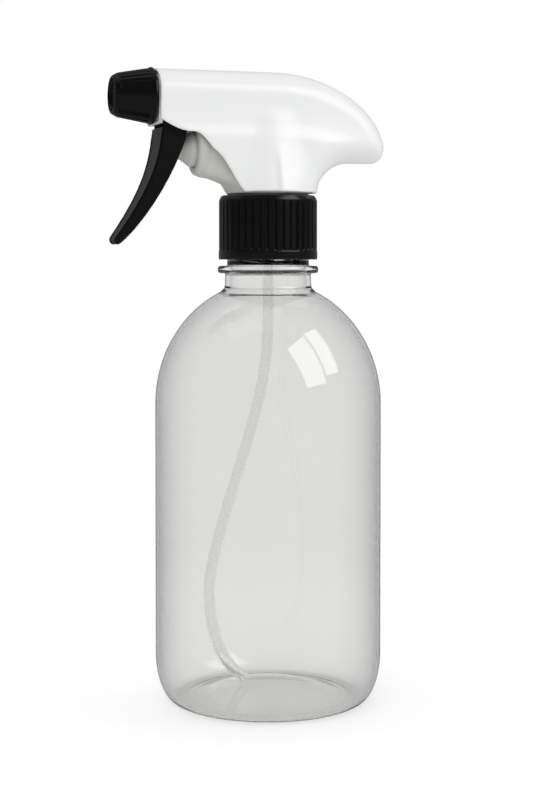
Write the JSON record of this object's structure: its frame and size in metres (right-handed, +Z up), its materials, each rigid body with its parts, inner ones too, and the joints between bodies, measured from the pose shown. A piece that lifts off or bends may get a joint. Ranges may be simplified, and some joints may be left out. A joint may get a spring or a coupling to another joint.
{
  "type": "trigger spray bottle",
  "caption": "Clear round-shouldered bottle with a ribbed screw closure and a trigger sprayer head: white shroud, grey pump body, black trigger and turning nozzle.",
  "frame": {"origin": "on the surface the bottle stands on, under the middle of the whole object's box; the bottle's own axis is at x = 6.1 mm", "axes": "+Z up along the bottle's axis, the nozzle points along -X, the shroud's tail along +X, +Y across the trigger"},
  "size_m": [0.0912, 0.073, 0.2031],
  "materials": {
    "bottle_plastic": "clear gloss",
    "black_ribbed_plastic": "satin",
    "black_plastic": "satin",
    "black_gloss_plastic": "gloss",
    "white_plastic": "gloss",
    "grey_plastic": "satin",
    "natural_plastic": "satin",
    "tube_plastic": "satin",
    "seal_rubber": "satin",
    "spring_steel": "drawn",
    "ball_steel": "polished"
  },
  "bodies": {
    "bottle": {"bottle": "bottle_plastic"},
    "seal": {"neck_gasket": "natural_plastic"},
    "closure": {"closure_collar": "black_ribbed_plastic"},
    "head": {"sprayer_body": "grey_plastic", "shroud": "white_plastic", "dip_tube": "tube_plastic", "tube_retainer": "natural_plastic", "inlet_ball_cage": "natural_plastic", "riser_plug": "natural_plastic", "swirl_insert": "natural_plastic", "nozzle_seal_ring": "seal_rubber", "return_spring": "spring_steel", "outlet_valve_spring": "spring_steel"},
    "trigger": {"trigger": "black_plastic"},
    "plunger": {"piston": "grey_plastic", "piston_seal": "seal_rubber"},
    "nozzle": {"nozzle_cap": "black_gloss_plastic", "orifice_disc": "black_plastic"},
    "inlet_ball": {"inlet_check_ball": "ball_steel"},
    "outlet_poppet": {"outlet_valve": "natural_plastic"}
  },
  "joints": [
    {"name": "head_rise", "type": "slide", "parent": "bottle", "child": "seal", "axis": [0, 0, 1], "range_m": [0, 0.00635]},
    {"name": "closure_turn", "type": "hinge", "parent": "seal", "child": "closure", "pos_m": [0.0061, 0, 0.15], "axis": [0, 0, 1], "range_deg": [0, 540]},
    {"name": "head_swivel", "type": "hinge", "parent": "seal", "child": "head", "pos_m": [0.0061, 0, 0.16], "axis": [0, 0, 1], "continuous": true},
    {"name": "trigger_pull", "type": "hinge", "parent": "head", "child": "trigger", "pos_m": [-0.0279, 0, 0.191], "axis": [0, -1, 0], "range_deg": [0, 22]},
    {"name": "piston_slide", "type": "slide", "parent": "head", "child": "plunger", "axis": [1, 0, 0], "range_m": [0, 0.00547], "stiffness_N_per_m": 800, "springref_m": -0.006, "deforming": ["return_spring"]},
    {"name": "nozzle_turn", "type": "hinge", "parent": "head", "child": "nozzle", "pos_m": [-0.039, 0, 0.194], "axis": [1, 0, 0], "continuous": true},
    {"name": "inlet_ball_lift", "type": "slide", "parent": "head", "child": "inlet_ball", "axis": [0, 0, 1], "range_m": [0, 0.0015]},
    {"name": "outlet_valve_lift", "type": "slide", "parent": "head", "child": "outlet_poppet", "axis": [0, 0, 1], "range_m": [0, 0.0012], "stiffness_N_per_m": 150, "springref_m": -0.002, "deforming": ["outlet_valve_spring"]}
  ],
  "couplings": [
    {"joint": "closure_turn", "follows": "head_rise", "rad_per_m": 1484.2},
    {"joint": "trigger_pull", "follows": "piston_slide", "rad_per_m": 70.175}
  ]
}
